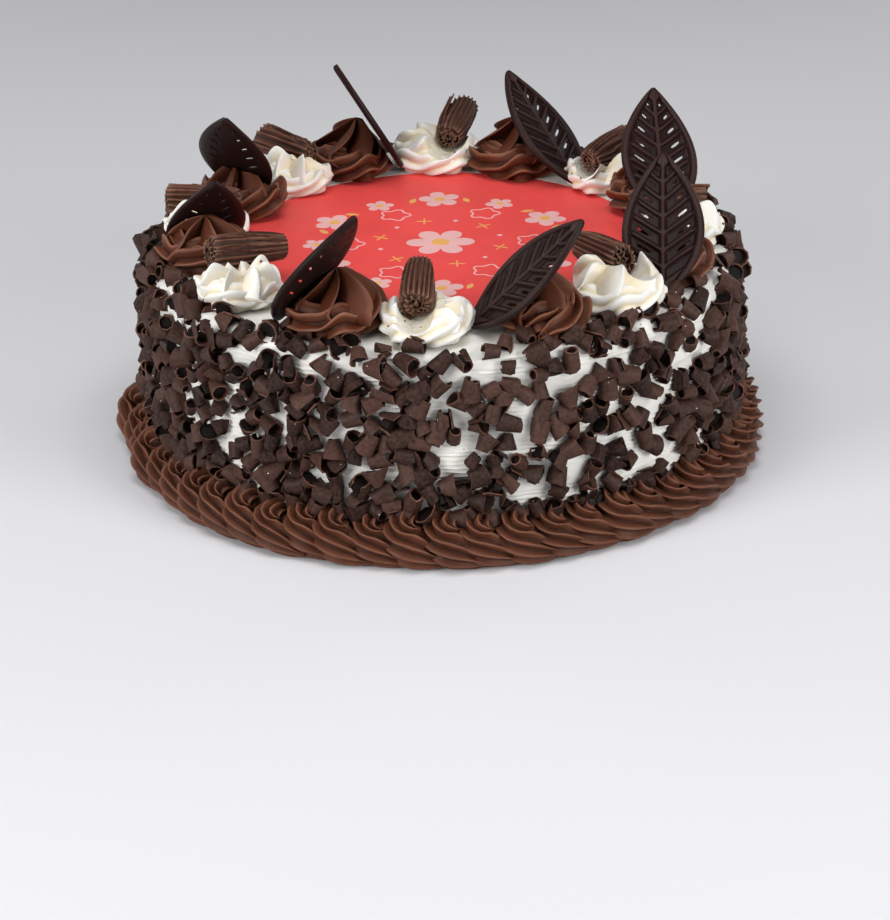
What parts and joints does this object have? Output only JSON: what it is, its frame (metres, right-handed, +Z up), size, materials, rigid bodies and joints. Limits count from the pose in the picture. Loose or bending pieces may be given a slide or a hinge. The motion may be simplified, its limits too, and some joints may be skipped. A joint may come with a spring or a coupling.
{
  "type": "chocolate cake",
  "caption": "Round cream-coated chocolate cake, side pressed with chocolate curls, topped by a red icing disc in a ring of piped rosettes with chocolate leaves and sticks.",
  "frame": {"origin": "middle of the cake's flat underside", "axes": "+Z up through the middle of the cake; -Y is the side that faces the viewer, +X to the viewer's right"},
  "size_m": [0.2878, 0.2878, 0.149],
  "materials": {
    "cream": "soft whipped cream, satin",
    "icing": "smooth sugar icing sheet, printed",
    "ganache": "piped chocolate cream, satin",
    "border": "piped chocolate cream, matt",
    "dark_chocolate": "moulded dark chocolate, soft sheen",
    "milk_chocolate": "folded milk chocolate, dry and matt"
  },
  "bodies": {
    "root": {"cake": "cream", "icing_disc": "icing", "base_border": "border", "choc_rosette_1": "ganache", "choc_rosette_2": "ganache", "choc_rosette_3": "ganache", "choc_rosette_4": "ganache", "choc_rosette_5": "ganache", "choc_rosette_6": "ganache", "choc_rosette_7": "ganache", "choc_rosette_8": "ganache", "cream_rosette_1": "cream", "cream_rosette_2": "cream", "cream_rosette_3": "cream", "cream_rosette_4": "cream", "cream_rosette_5": "cream", "cream_rosette_6": "cream", "cream_rosette_7": "cream", "cream_rosette_8": "cream", "leaf_1": "dark_chocolate", "leaf_2": "dark_chocolate", "leaf_3": "dark_chocolate", "leaf_4": "dark_chocolate", "leaf_5": "dark_chocolate", "leaf_6": "dark_chocolate", "leaf_7": "dark_chocolate", "leaf_8": "dark_chocolate", "choc_stick_1": "milk_chocolate", "choc_stick_2": "milk_chocolate", "choc_stick_3": "milk_chocolate", "choc_stick_4": "milk_chocolate", "choc_stick_5": "milk_chocolate", "choc_stick_6": "milk_chocolate", "choc_stick_7": "milk_chocolate", "choc_stick_8": "milk_chocolate"}
  },
  "joints": []
}
